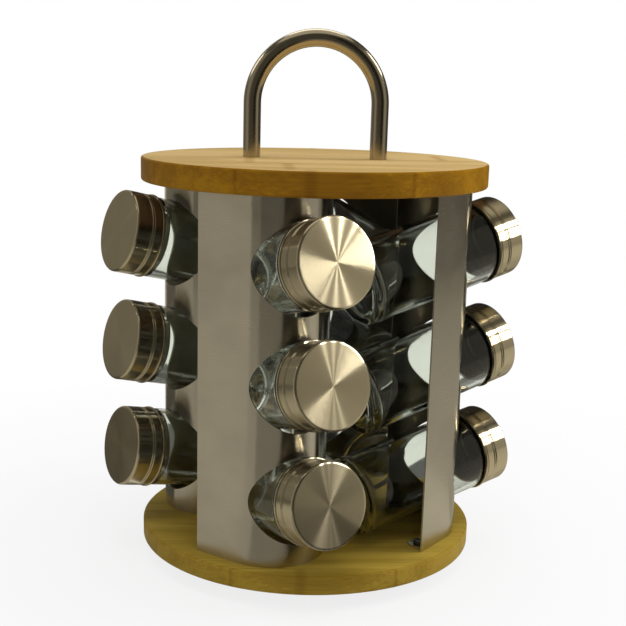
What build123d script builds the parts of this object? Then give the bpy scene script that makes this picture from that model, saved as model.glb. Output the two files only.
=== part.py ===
from build123d import *
import os
from math import cos, degrees, radians, sin

# Spice carousel: two bamboo boards held apart by four bent steel panels set as a pinwheel, twelve glass
# jars hung in the panels' holes, a tube handle on top and a ball turntable underneath.
# Millimetres, +Z up, origin on the table under the middle of the rack. The front column faces -Y.

# Boards
board_radius = 90.0
base_thickness = 10.0
top_thickness = 12.0
board_edge_round = 1.2

# Turntable under the base board, from the table upwards
pad_radius = 7.0
pad_thickness = 1.5
pad_circle_radius = 56.0
pad_count = 4
foot_radius = 66.0
foot_thickness = 2.5
foot_edge_round = 0.8
plate_radius = 54.0
plate_thickness = 2.0
race_gap = 2.0
ball_radius = 2.0
ball_circle_radius = 45.0
ball_count = 18
cage_half_width = 3.4
cage_thickness = 1.0
rivet_radius = 3.0
rivet_foot_head_radius = 6.0
rivet_foot_head_height = 1.0
rivet_top_head_radius = 5.5
rivet_top_head_height = 1.2
rivet_pocket_depth = 2.2
rivet_pocket_play = 1.0

# Bent steel panels, drawn for the front column
sheet = 0.8
panel_rim_inset = 28.0
column_offset = 44.0
arc_radius = 27.0
strip_side_angle = 68.0
end_side_angle = 76.0
strip_length = 27.0
tab_width = 10.0
tab_length = 11.0
tab_corner = 2.5
strip_tab_inset = 9.0
end_tab_inset = 7.0
tab_hole_inset = 6.0

# Rows of holes: the first measured up from the base board, the last down from the top board
row_names = ("bottom", "middle", "top")
row_tilts = (10.5, 13.0, 13.0)
first_row_height = 33.8
row_pitch = 57.6
last_row_drop = 34.4
column_names = ("front", "right", "back", "left")

# Glass jar, measured along its own axis from its foot
jar_radius = 21.0
jar_wall = 2.2
jar_foot_thickness = 4.5
jar_foot_round = 3.0
jar_foot_hollow = 1.4
body_length = 75.5
shoulder_length = 2.7
neck_radius = 18.3
neck_length = 14.4
bead_height = 0.4
bead_width = 2.0
bead_places = (4.0, 9.0)
lip_round = 0.5

# Steel cap and its plastic liner, which sits on the neck
cap_length = 16.0
cap_wall = 0.6
cap_face_round = 0.7
rim_bead_height = 0.5
rim_bead_width = 1.4
groove_depth = 0.25
groove_width = 0.5
groove_places = (1.4, 5.8, 7.0)
liner_wall = 1.7
liner_top_thickness = 1.0
liner_rim_inset = 0.4

# How far the caps' faces stand out of the panel, along the jars' axes, column by column as the jars were left
face_reaches = (26.0, 27.5, 27.5, 30.5)

# Handle
handle_spacing = 66.0
tube_radius = 4.5
tube_wall = 1.0
handle_rise = 65.0
handle_turn = -30.0
socket_depth = 7.0
insert_length = 16.0

# Screws
wood_screw_radius = 1.5
wood_screw_length = 8.0
wood_head_radius = 3.0
wood_head_height = 1.8
countersink_depth = 1.8
plate_screw_circle_radius = 30.0
plate_screw_count = 4
handle_screw_radius = 2.1
handle_screw_bite = 10.0
handle_head_radius = 4.6
handle_head_height = 2.8
slot_width = 0.9
slot_depth = 0.8
head_rounding = 0.45
point_rounding = 0.6

# Clearances
running_fit = 0.05
screw_fit = 0.05
ball_pocket_play = 0.15
rivet_play = 0.1
hole_play = 1.4
jar_top_play = 0.3
neck_play = 0.35
cap_seat_gap = 0.3
liner_fit = 0.05
socket_fit = 0.05

# Heights of the stack
foot_bottom = pad_thickness
foot_top = foot_bottom + foot_thickness
plate_bottom = foot_top + race_gap
base_bottom = plate_bottom + plate_thickness
base_top = base_bottom + base_thickness
row_heights = [base_top + first_row_height + row_pitch * row for row in range(len(row_names))]
top_bottom = row_heights[-1] + last_row_drop
top_top = top_bottom + top_thickness
ball_height = (foot_top + plate_bottom) / 2

# The panel's bend: centre of the arc and the directions along and into the sheet at an angle of the arc,
# where the angle is 0 at the front of the arc and grows towards +X
panel_reach = board_radius - panel_rim_inset
arc_center = Vector(-column_offset, arc_radius - panel_reach)


def along(angle):
    """Unit vector along the sheet at an angle of the arc, towards the arc's +X end."""
    return Vector(cos(radians(angle)), sin(radians(angle)))


def inward(angle):
    """Unit vector from the sheet to the middle of the arc, at an angle of the arc."""
    return Vector(-sin(radians(angle)), cos(radians(angle)))


def on_arc(angle, depth=0.0):
    """Point of the plan on the arc, a depth inside the sheet's outer face."""
    return arc_center - inward(angle) * (arc_radius - depth)


def turned(shape, quarter):
    """The shape carried round the rack's axis by quarter turns."""
    return Rot(0, 0, 90 * quarter) * shape


def grouped(shapes):
    """Separate solids kept together as one piece list."""
    return Compound(children=list(shapes))


def revolved(points_face):
    """A face of the XZ plane turned once round the Z axis."""
    return revolve(points_face, axis=Axis.Z)


def disc(radius, low, high):
    """Cylinder on the Z axis between two heights."""
    return Pos(0, 0, low) * Cylinder(radius, high - low, align=(Align.CENTER, Align.CENTER, Align.MIN))


def pan_screw(head_radius, head_height, radius, length):
    """Slotted screw with its head's seat at the origin and its shank along -Z."""
    head = disc(head_radius, 0, head_height)
    head = fillet(head.edges().group_by(Axis.Z)[-1], head_height * head_rounding)
    slot = Pos(0, 0, head_height) * Box(head_radius * 2, slot_width, slot_depth * 2)
    shank = disc(radius, -length, 0)
    shank = chamfer(shank.edges().group_by(Axis.Z)[0], radius * point_rounding)
    return head + shank - slot


# Turntable
rivet_shank_top = base_bottom + rivet_play
ball_spots = list(PolarLocations(ball_circle_radius, ball_count))
race_groove = Pos(0, 0, ball_height) * Torus(ball_circle_radius, ball_radius + running_fit)

turntable_foot = disc(foot_radius, foot_bottom, foot_top)
turntable_foot = fillet(turntable_foot.edges().group_by(Axis.Z)[-1], foot_edge_round)
turntable_foot -= disc(rivet_radius + running_fit, 0, base_top)
turntable_foot -= race_groove

rubber_pad = disc(pad_radius, 0, pad_thickness)
pad_spots = PolarLocations(pad_circle_radius, pad_count, start_angle=45)
rubber_feet = grouped(spot * rubber_pad for spot in pad_spots)

pivot_rivet = disc(rivet_foot_head_radius, foot_bottom - rivet_foot_head_height, foot_bottom)
pivot_rivet += disc(rivet_radius, foot_bottom, rivet_shank_top)
pivot_rivet += disc(rivet_top_head_radius, rivet_shank_top, rivet_shank_top + rivet_top_head_height)

cage_low = ball_height - cage_thickness / 2
ball_cage = disc(ball_circle_radius + cage_half_width, cage_low, cage_low + cage_thickness)
ball_cage -= disc(ball_circle_radius - cage_half_width, cage_low, cage_low + cage_thickness)
for spot in ball_spots:
    ball_cage -= spot * disc(ball_radius + ball_pocket_play, cage_low, cage_low + cage_thickness)

bearing_balls = grouped(spot * Pos(0, 0, ball_height) * Sphere(ball_radius) for spot in ball_spots)

plate_screw_spots = list(PolarLocations(plate_screw_circle_radius, plate_screw_count, start_angle=45))
plate_head = Pos(0, 0, plate_bottom) * Cone(
    wood_head_radius, wood_screw_radius, countersink_depth, align=(Align.CENTER, Align.CENTER, Align.MIN)
)
plate_screw_end = plate_bottom + wood_screw_length
plate_shank = disc(wood_screw_radius, plate_bottom + countersink_depth, plate_screw_end)
plate_slot = Pos(0, 0, plate_bottom) * Box(wood_head_radius * 2, slot_width, slot_depth * 2)
plate_screw = plate_head + plate_shank - plate_slot
plate_screw_way = Pos(0, 0, plate_bottom) * Cone(
    wood_head_radius + screw_fit,
    wood_screw_radius + screw_fit,
    countersink_depth,
    align=(Align.CENTER, Align.CENTER, Align.MIN),
)
plate_screw_way += disc(wood_screw_radius + screw_fit, plate_bottom, plate_screw_end + screw_fit)
turntable_screws = grouped(spot * plate_screw for spot in plate_screw_spots)

turntable_plate = disc(plate_radius, plate_bottom, base_bottom)
turntable_plate -= disc(rivet_radius + running_fit, 0, base_top)
turntable_plate -= race_groove
for spot in plate_screw_spots:
    turntable_plate -= spot * plate_screw_way

# Panels: the sheet in plan, its tabs and its three holes
strip_run = along(-strip_side_angle) * -strip_length
outer_free = on_arc(-strip_side_angle) + strip_run
inner_free = on_arc(-strip_side_angle, sheet) + strip_run
outer_arc = ThreePointArc(on_arc(-strip_side_angle), on_arc(0), on_arc(end_side_angle))
inner_arc = ThreePointArc(on_arc(end_side_angle, sheet), on_arc(0, sheet), on_arc(-strip_side_angle, sheet))
panel_outline = [
    Line(outer_free, on_arc(-strip_side_angle)),
    outer_arc,
    Line(on_arc(end_side_angle), on_arc(end_side_angle, sheet)),
    inner_arc,
    Line(on_arc(-strip_side_angle, sheet), inner_free),
    Line(inner_free, outer_free),
]
panel_plan = make_face(panel_outline)

# A tab is rooted inside the sheet at a point of its inner face and reaches into the rack
strip_tab_root = inner_free + along(-strip_side_angle) * strip_tab_inset
end_tab_angle = end_side_angle - degrees(end_tab_inset / arc_radius)
tab_places = ((strip_tab_root, -strip_side_angle), (on_arc(end_tab_angle, sheet), end_tab_angle))
tab_root = sheet / 4


def tab_spot(root, angle, reach, height):
    """Frame on a tab: X into the rack, Z up, its origin a reach away from the sheet's inner face."""
    spot = root + inward(angle) * reach
    return Pos(spot.X, spot.Y, height) * Rot(0, 0, angle + 90)


def tab_at(root, angle, height):
    """One tab's plate, its lower face at a height."""
    plate = Box(tab_length + tab_root, tab_width, sheet, align=(Align.MIN, Align.CENTER, Align.MIN))
    free_corners = plate.edges().filter_by(Axis.Z).group_by(Axis.X)[-1]
    plate = fillet(free_corners, tab_corner)
    return tab_spot(root, angle, -tab_root, height) * plate


tab_hole = disc(wood_screw_radius + screw_fit, 0, sheet)
panel = Pos(0, 0, base_top) * extrude(panel_plan, top_bottom - base_top, dir=(0, 0, 1))
for root, angle in tab_places:
    for tab_low in (base_top, top_bottom - sheet):
        panel += tab_at(root, angle, tab_low)
        panel -= tab_spot(root, angle, tab_hole_inset, tab_low) * tab_hole

hole_radii = [jar_radius / cos(radians(tilt)) + hole_play for tilt in row_tilts]
for height, hole_radius in zip(row_heights, hole_radii):
    hole = Cylinder(hole_radius, arc_radius, align=(Align.CENTER, Align.CENTER, Align.MIN))
    panel -= Pos(-column_offset, arc_center.Y, height) * Rot(90, 0, 0) * hole

panels = {"panel_" + name: turned(panel, quarter) for quarter, name in enumerate(column_names)}

# Screws through the tabs, into the boards
wood_screw = pan_screw(wood_head_radius, wood_head_height, wood_screw_radius, wood_screw_length)
wood_pilot = disc(wood_screw_radius + screw_fit, -wood_screw_length - screw_fit, 0)
base_screw_spots = [tab_spot(root, angle, tab_hole_inset, base_top + sheet) for root, angle in tab_places]
top_screw_spots = [
    tab_spot(root, angle, tab_hole_inset, top_bottom - sheet) * Rot(180, 0, 0) for root, angle in tab_places
]
quarters = range(len(column_names))
panel_base_screws = grouped(turned(at * wood_screw, turn) for turn in quarters for at in base_screw_spots)
panel_top_screws = grouped(turned(at * wood_screw, turn) for turn in quarters for at in top_screw_spots)


def board(thickness, low):
    """Round board with softened edges, its lower face at a height."""
    blank = disc(board_radius, low, low + thickness)
    return fillet(blank.edges(), board_edge_round)


# Base board, with the rivet's pocket and the screws' pilot holes
base_board = board(base_thickness, base_bottom)
base_board -= disc(rivet_top_head_radius + rivet_pocket_play, base_bottom, base_bottom + rivet_pocket_depth)
for spot in plate_screw_spots:
    base_board -= spot * plate_screw_way
for turn in quarters:
    for spot in base_screw_spots:
        base_board -= turned(spot * wood_pilot, turn)

# Top board, with the handle's sockets and the screws' holes
top_board = board(top_thickness, top_bottom)
for turn in quarters:
    for spot in top_screw_spots:
        top_board -= turned(spot * wood_pilot, turn)
socket_low = top_top - socket_depth
leg_spots = [Rot(0, 0, handle_turn) * Pos(side * handle_spacing / 2, 0, 0) for side in (-1, 1)]
for spot in leg_spots:
    top_board -= spot * disc(tube_radius + socket_fit, socket_low, top_top)
    top_board -= spot * disc(handle_screw_radius + screw_fit, top_bottom, top_top)

# Handle: a bent tube with a half-round top, its plugs and its screws
bend_radius = handle_spacing / 2
bend_height = top_top + handle_rise - tube_radius - bend_radius
leg_foot = Vector(-bend_radius, 0, socket_low)
leg_head = Vector(-bend_radius, 0, bend_height)
far_head = Vector(bend_radius, 0, bend_height)
far_foot = Vector(bend_radius, 0, socket_low)
handle_path = Wire([
    Line(leg_foot, leg_head),
    ThreePointArc(leg_head, Vector(0, 0, bend_height + bend_radius), far_head),
    Line(far_head, far_foot),
])
tube_section = Plane(leg_foot, z_dir=(0, 0, 1)) * (Circle(tube_radius) - Circle(tube_radius - tube_wall))
handle = Rot(0, 0, handle_turn) * sweep(tube_section, path=handle_path)

plug = disc(tube_radius - tube_wall, socket_low, socket_low + insert_length)
plug -= disc(handle_screw_radius + screw_fit, socket_low, socket_low + insert_length)
handle_inserts = grouped(spot * plug for spot in leg_spots)

handle_screw_length = top_thickness - socket_depth + handle_screw_bite
handle_screw = pan_screw(handle_head_radius, handle_head_height, handle_screw_radius, handle_screw_length)
handle_screws = grouped(spot * Pos(0, 0, top_bottom) * Rot(180, 0, 0) * handle_screw for spot in leg_spots)

# Glass jar along its own axis
neck_low = body_length + shoulder_length
mouth = neck_low + neck_length
bore_radius = neck_radius - jar_wall
inner_radius = jar_radius - jar_wall


def shoulder_arc(low, high, wide, narrow):
    """Shoulder between two radii, through the middle of the quarter ellipse that joins them."""
    middle = (narrow + (wide - narrow) * cos(radians(45)), low + (high - low) * sin(radians(45)))
    return ThreePointArc((wide, low), middle, (narrow, high))


def in_section(edges):
    """Face of the XZ plane from edges drawn as radius and height."""
    return Plane.XZ * make_face(edges)


foot_flat = jar_radius - jar_foot_round
floor_flat = inner_radius - jar_foot_round
jar_profile = [
    ThreePointArc((0, jar_foot_hollow), (foot_flat * 0.5, jar_foot_hollow * 0.75), (foot_flat, 0)),
    CenterArc((foot_flat, jar_foot_round), jar_foot_round, 270, 90),
    Line((jar_radius, jar_foot_round), (jar_radius, body_length)),
    shoulder_arc(body_length, neck_low, jar_radius, neck_radius),
    Line((neck_radius, neck_low), (neck_radius, mouth - lip_round)),
    CenterArc((neck_radius - lip_round, mouth - lip_round), lip_round, 0, 90),
    Line((neck_radius - lip_round, mouth), (bore_radius + lip_round, mouth)),
    CenterArc((bore_radius + lip_round, mouth - lip_round), lip_round, 90, 90),
    Line((bore_radius, mouth - lip_round), (bore_radius, neck_low)),
    shoulder_arc(body_length, neck_low, inner_radius, bore_radius),
    Line((inner_radius, body_length), (inner_radius, jar_foot_thickness + jar_foot_round)),
    CenterArc((floor_flat, jar_foot_thickness + jar_foot_round), jar_foot_round, 270, 90),
    Line((floor_flat, jar_foot_thickness), (0, jar_foot_thickness)),
    Line((0, jar_foot_thickness), (0, jar_foot_hollow)),
]
jar = revolved(in_section(jar_profile))
for place in bead_places:
    bead_low = (neck_radius, neck_low + place)
    bead_high = (neck_radius, neck_low + place + bead_width)
    bead_top = (neck_radius + bead_height, neck_low + place + bead_width / 2)
    bead_root = (neck_radius - bead_height, neck_low + place + bead_width / 2)
    bead_inside = [Line(bead_high, bead_root), Line(bead_root, bead_low)]
    jar += revolved(in_section([ThreePointArc(bead_low, bead_top, bead_high), *bead_inside]))

# Cap shell and liner on the same axis
liner_seat = mouth + cap_seat_gap
cap_face = liner_seat + liner_top_thickness + cap_wall
cap_rim = cap_face - cap_length
liner_bore = neck_radius + bead_height + neck_play
liner_radius = liner_bore + liner_wall
shell_bore = liner_radius + liner_fit
cap_radius = shell_bore + cap_wall
cap = disc(cap_radius, cap_rim, cap_face)
cap = fillet(cap.edges().group_by(Axis.Z)[-1], cap_face_round)
cap += disc(cap_radius + rim_bead_height, cap_rim, cap_rim + rim_bead_width)
for place in groove_places:
    ring = disc(cap_radius + rim_bead_height, cap_rim + place, cap_rim + place + groove_width)
    ring -= disc(cap_radius - groove_depth, cap_rim + place, cap_rim + place + groove_width)
    cap -= ring
cap -= disc(shell_bore, cap_rim, cap_face - cap_wall)

liner = disc(liner_radius, cap_rim + liner_rim_inset, cap_face - cap_wall)
liner -= disc(liner_bore, cap_rim, liner_seat)

# Jars hang in the panel's holes, a little under the top of each hole
jars = {}
caps = {}
liners = {}
for row, (row_name, tilt) in enumerate(zip(row_names, row_tilts)):
    axis_height = row_heights[row] + hole_play - jar_top_play
    axis_way = Vector(0, -cos(radians(tilt)), sin(radians(tilt)))
    for quarter, (column_name, face_reach) in enumerate(zip(column_names, face_reaches)):
        foot_point = Vector(-column_offset, -panel_reach, axis_height) + axis_way * (face_reach - cap_face)
        seat = Pos(foot_point.X, foot_point.Y, foot_point.Z) * Rot(90 - tilt, 0, 0)
        ending = column_name + "_" + row_name
        jars["jar_" + ending] = turned(seat * jar, quarter)
        caps["cap_" + ending] = turned(seat * cap, quarter)
        liners["liner_" + ending] = turned(seat * liner, quarter)

pieces = {
    "rubber_feet": rubber_feet,
    "turntable_foot": turntable_foot,
    "pivot_rivet": pivot_rivet,
    "ball_cage": ball_cage,
    "bearing_balls": bearing_balls,
    "turntable_plate": turntable_plate,
    "turntable_screws": turntable_screws,
    "base_board": base_board,
    "panel_base_screws": panel_base_screws,
    "panel_top_screws": panel_top_screws,
    "top_board": top_board,
    "handle": handle,
    "handle_inserts": handle_inserts,
    "handle_screws": handle_screws,
    **panels,
    **jars,
    **caps,
    **liners,
}

os.makedirs("parts", exist_ok=True)
for name, shape in pieces.items():
    export_step(shape, "parts/" + name + ".step")
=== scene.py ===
from math import cos, pi, radians, sin

import bmesh
import bpy
import numpy as np
from mathutils import Matrix, Vector


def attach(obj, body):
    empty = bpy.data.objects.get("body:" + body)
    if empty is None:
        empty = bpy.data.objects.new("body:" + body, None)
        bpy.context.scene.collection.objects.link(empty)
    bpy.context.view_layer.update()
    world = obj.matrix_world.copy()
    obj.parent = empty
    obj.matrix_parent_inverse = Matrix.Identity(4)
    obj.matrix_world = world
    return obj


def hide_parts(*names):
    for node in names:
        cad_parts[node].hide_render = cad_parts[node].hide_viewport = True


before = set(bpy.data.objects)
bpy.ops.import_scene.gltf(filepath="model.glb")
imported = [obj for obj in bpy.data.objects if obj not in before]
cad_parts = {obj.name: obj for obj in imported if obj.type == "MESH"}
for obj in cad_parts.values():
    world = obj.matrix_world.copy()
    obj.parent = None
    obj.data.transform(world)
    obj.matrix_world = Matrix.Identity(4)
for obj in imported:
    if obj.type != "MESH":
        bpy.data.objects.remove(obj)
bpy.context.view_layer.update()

# Turntable foot. A moulded black plastic disc stands still on the table on four glued rubber pads, and a
# plated rivet through its middle is the axle of the rack.
foot_black = (0.018, 0.018, 0.019)
foot_roughness = 0.45
foot_grain = 900.0
rubber_grey = (0.035, 0.034, 0.033)
rubber_roughness = 0.75
rubber_grain = 600.0
zinc_grey = (0.50, 0.51, 0.52)
zinc_roughness = 0.35
noise_middle = (0.3, 0.7)


def new_finish(name, colour, metallic, roughness):
    """Material with one principled shader, its plain values set on the shader's own sockets."""
    material = bpy.data.materials.new(name)
    material.use_nodes = True
    shader = material.node_tree.nodes["Principled BSDF"]
    shader.inputs["Base Color"].default_value = (*colour, 1.0)
    shader.inputs["Metallic"].default_value = metallic
    shader.inputs["Roughness"].default_value = roughness
    return material, material.node_tree, shader


def add_node(tree, kind, settings=None, **values):
    """Shader node of a kind, with its settings and the values of its named inputs."""
    node = tree.nodes.new("ShaderNode" + kind)
    for key, value in (settings or {}).items():
        setattr(node, key, value)
    for key, value in values.items():
        node.inputs[key.replace("_", " ")].default_value = value
    return node


def object_grid(tree, scale, turn=0.0):
    """Object coordinates turned about Z and stretched by a scale, as a vector output."""
    coordinates = add_node(tree, "TexCoord")
    mapping = add_node(tree, "Mapping", Rotation=(0.0, 0.0, turn), Scale=scale)
    tree.links.new(coordinates.outputs["Object"], mapping.inputs["Vector"])
    return mapping.outputs["Vector"]


def add_noise(tree, place, detail, decay, flat=False):
    """Noise over a place output, in space or on a flat map: octaves of detail that each weaken by a decay."""
    settings = {"noise_dimensions": "2D" if flat else "3D"}
    noise = add_node(tree, "TexNoise", settings, Scale=1.0, Detail=detail, Roughness=decay)
    tree.links.new(place, noise.inputs["Vector"])
    return noise.outputs["Fac"]


def vary_roughness(tree, shader, source, span, roughness, change):
    """Roughness from one change under its mean to another over it, as a source output crosses a span."""
    spread = add_node(tree, "MapRange", From_Min=span[0], From_Max=span[1])
    spread.inputs["To Min"].default_value = roughness - change[0]
    spread.inputs["To Max"].default_value = roughness + change[1]
    tree.links.new(source, spread.inputs["Value"])
    tree.links.new(spread.outputs["Result"], shader.inputs["Roughness"])


def add_bump(tree, shader, height, strength, distance):
    """Bump from a height output, put on the shader's normal."""
    bump = add_node(tree, "Bump", Strength=strength, Distance=distance)
    tree.links.new(height, bump.inputs["Height"])
    tree.links.new(bump.outputs["Normal"], shader.inputs["Normal"])


def moulded_finish(name, colour, roughness, grain):
    """Moulded plastic or rubber: fine pebbled skin with a little change of sheen."""
    sheen_change = (0.08, 0.10)
    pebble_noise = (4.0, 0.6)
    pebble_bump = (0.25, 0.0002)
    material, tree, shader = new_finish(name, colour, 0.0, roughness)
    pebble = add_noise(tree, object_grid(tree, (grain, grain, grain)), *pebble_noise)
    vary_roughness(tree, shader, pebble, noise_middle, roughness, sheen_change)
    add_bump(tree, shader, pebble, *pebble_bump)
    return material


def plated_finish(name, colour, roughness):
    """Plated small steel: cloudy sheen from the plating bath."""
    cloud_grain = (420.0, 420.0, 420.0)
    cloud_noise = (3.0, 0.55)
    sheen_change = (0.08, 0.12)
    material, tree, shader = new_finish(name, colour, 1.0, roughness)
    cloud = add_noise(tree, object_grid(tree, cloud_grain), *cloud_noise)
    vary_roughness(tree, shader, cloud, noise_middle, roughness, sheen_change)
    return material


def dress(node_name, material):
    """Puts a material on a CAD node that stays as it is."""
    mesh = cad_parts[node_name].data
    mesh.materials.clear()
    mesh.materials.append(material)


zinc_finish = plated_finish("zinc_plate", zinc_grey, zinc_roughness)
dress("turntable_foot", moulded_finish("foot_plastic", foot_black, foot_roughness, foot_grain))
dress("rubber_feet", moulded_finish("pad_rubber", rubber_grey, rubber_roughness, rubber_grain))
dress("pivot_rivet", zinc_finish)

# Ball ring. Polished steel balls in a moulded cage roll between the foot and the plate above it. They carry
# the rack and follow it at half its speed.
cage_white = (0.72, 0.71, 0.66)
cage_roughness = 0.5
cage_grain = 700.0
ball_grey = (0.62, 0.62, 0.62)
ball_roughness = 0.12
dress("ball_cage", moulded_finish("cage_plastic", cage_white, cage_roughness, cage_grain))
dress("bearing_balls", plated_finish("ball_steel", ball_grey, ball_roughness))

# Turntable plate. A zinc-plated steel disc is the upper race, held under the base board by four
# countersunk wood screws.
screw_grey = (0.16, 0.15, 0.14)
screw_roughness = 0.38
screw_finish = plated_finish("screw_steel", screw_grey, screw_roughness)
dress("turntable_plate", zinc_finish)
dress("turntable_screws", screw_finish)

# Base board. A disc of glued bamboo strips with softened edges, oiled on its face and rim and left unsanded
# below. Its rim's colour is darker cut grain with painted shade, and its underside's colour is painted darker
# as shade. The panels stand on it, and it turns with the plate under it.
board_radius = 0.090
board_edge = 0.0012
board_sides = 240
board_crease = 50.0
base_low = 0.008
base_top = 0.018
strip_width = 0.040
bamboo_turn = radians(30.0)
base_light = (0.54, 0.375, 0.058)
base_dark = (0.33, 0.205, 0.022)
base_sheen = 0.42
# Painted shade: the base's rim colours are darker than its face's, partly darker cut grain and partly painted
# shade.
shaded_base_rim_light = (0.40, 0.26, 0.030)
shaded_base_rim_dark = (0.26, 0.155, 0.012)
rim_sheen = 0.45
# Painted shade: the boards' undersides get darker colours than their faces, for the shade below them.
shaded_under_light = (0.27, 0.165, 0.085)
shaded_under_dark = (0.18, 0.105, 0.052)
under_sheen = 0.55


def grid_faces(rows, columns, wrap=False):
    """Corner numbers of the quads of a grid; a wrapped grid joins its last column to its first."""
    row = np.arange(rows - 1)[:, None] * columns
    column = np.arange(columns if wrap else columns - 1)[None, :]
    after = (column + 1) % columns
    corners = (row + column, row + after, row + columns + after, row + columns + column)
    return np.stack(np.broadcast_arrays(*corners), axis=-1).reshape(-1, 4)


def make_piece(name, points, faces, materials, body, slot, node, crease=35.0, uv=None, marks=None):
    """Mesh in place of a CAD node: doubles merged, smooth, with sharp edges past the crease in degrees.

    uv is the map of every face corner and marks the number of every face's material, where a piece has them.
    """
    weld_reach = 1e-7
    mesh = bpy.data.meshes.new(name)
    mesh.from_pydata(points.tolist(), [], faces.tolist())
    if marks is not None:
        mesh.polygons.foreach_set("material_index", marks.astype(np.int32))
    if uv is not None:
        layer = mesh.uv_layers.new(name="around")
        layer.data.foreach_set("uv", uv.reshape(-1).astype(np.float32))
    shape = bmesh.new()
    shape.from_mesh(mesh)
    bmesh.ops.remove_doubles(shape, verts=shape.verts, dist=weld_reach)
    shape.to_mesh(mesh)
    shape.free()
    mesh.shade_smooth()
    mesh.set_sharp_from_angle(angle=radians(crease))
    for material in materials:
        mesh.materials.append(material)
    piece = bpy.data.objects.new(name, mesh)
    bpy.context.scene.collection.objects.link(piece)
    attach(piece, body)
    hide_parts(node)
    return piece


def turned_grid(profile, sides):
    """Points (r cos a, r sin a, h) of a profile of (r, h) rows turned once about Z, with their quads."""
    angle = np.arange(sides) * 2 * pi / sides
    radius, height = profile[:, :1], profile[:, 1:]
    points = np.stack([radius * np.cos(angle), radius * np.sin(angle), height + 0 * angle], axis=-1)
    return points.reshape(-1, 3), grid_faces(len(profile), sides, wrap=True)


def arc_rows(centre, radius, start, end, count):
    """Rows (r, h) = centre + radius (cos a, sin a), for a count of angles a between two in degrees."""
    angle = np.radians(np.linspace(start, end, count))
    return np.stack([centre[0] + radius * np.cos(angle), centre[1] + radius * np.sin(angle)], axis=-1)


def board_rows(low, high):
    """Profile of a board, from the middle below to the middle above, with two quarter circles at its edge."""
    flat_points = 12
    edge_points = 8
    inner = board_radius - board_edge
    under = np.linspace((0.0, low), (inner, low), flat_points)
    lower = arc_rows((inner, low + board_edge), board_edge, -90, 0, edge_points)
    upper = arc_rows((inner, high - board_edge), board_edge, 0, 90, edge_points)
    over = np.linspace((inner, high), (0.0, high), flat_points)
    return np.vstack([under, lower[1:], upper, over[1:]])


def add_board(name, low, high, finishes, node):
    """Turned board with finishes for its face, its cut and oiled rim and its unsanded underside, both
    darkened with painted shade.
    """
    flat_play = board_edge / 20
    points, faces = turned_grid(board_rows(low, high), board_sides)
    corner_height = points[faces][..., 2]
    above = corner_height.min(axis=1) > high - flat_play
    below = corner_height.max(axis=1) < low + flat_play
    marks = np.select([above, below], [0, 2], 1)
    make_piece(name, points, faces, finishes, "carousel", "bamboo", node, crease=board_crease, marks=marks)


def add_math(tree, operation, *values):
    """Output of a math node whose values are outputs or plain numbers."""
    node = add_node(tree, "Math", {"operation": operation})
    for socket, value in zip(node.inputs, values):
        if isinstance(value, bpy.types.NodeSocket):
            tree.links.new(value, socket)
        else:
            socket.default_value = value
    return node.outputs["Value"]


def stretched(tree, place, scale):
    """Place output stretched by a scale along its axes."""
    mapping = add_node(tree, "Mapping", Scale=scale)
    tree.links.new(place, mapping.inputs["Vector"])
    return mapping.outputs["Vector"]


def ramp(tree, factor, places, colours):
    """Colour output that goes through colours at places as a factor output rises."""
    node = add_node(tree, "ValToRGB")
    elements = node.color_ramp.elements
    while len(elements) < len(places):
        elements.new(0.5)
    for element, place, colour in zip(elements, places, colours):
        element.position = place
        element.color = (*colour, 1.0)
    tree.links.new(factor, node.inputs["Fac"])
    return node.outputs["Color"]


def lined(tree, colour, distance, edges, depth, tint):
    """Colour output with a tint multiplied in along lines.

    The tint's share is the depth where a distance output is under the first edge, and fades to nothing at
    the second.
    """
    line = add_node(tree, "MapRange", {"interpolation_type": "SMOOTHSTEP"}, To_Min=depth, To_Max=0.0)
    line.inputs["From Min"].default_value = edges[0]
    line.inputs["From Max"].default_value = edges[1]
    tree.links.new(distance, line.inputs["Value"])
    mix = add_node(tree, "MixRGB", {"blend_type": "MULTIPLY"}, Color2=(*tint, 1.0))
    tree.links.new(line.outputs["Result"], mix.inputs["Fac"])
    tree.links.new(colour, mix.inputs["Color1"])
    return mix.outputs["Color"]


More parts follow.
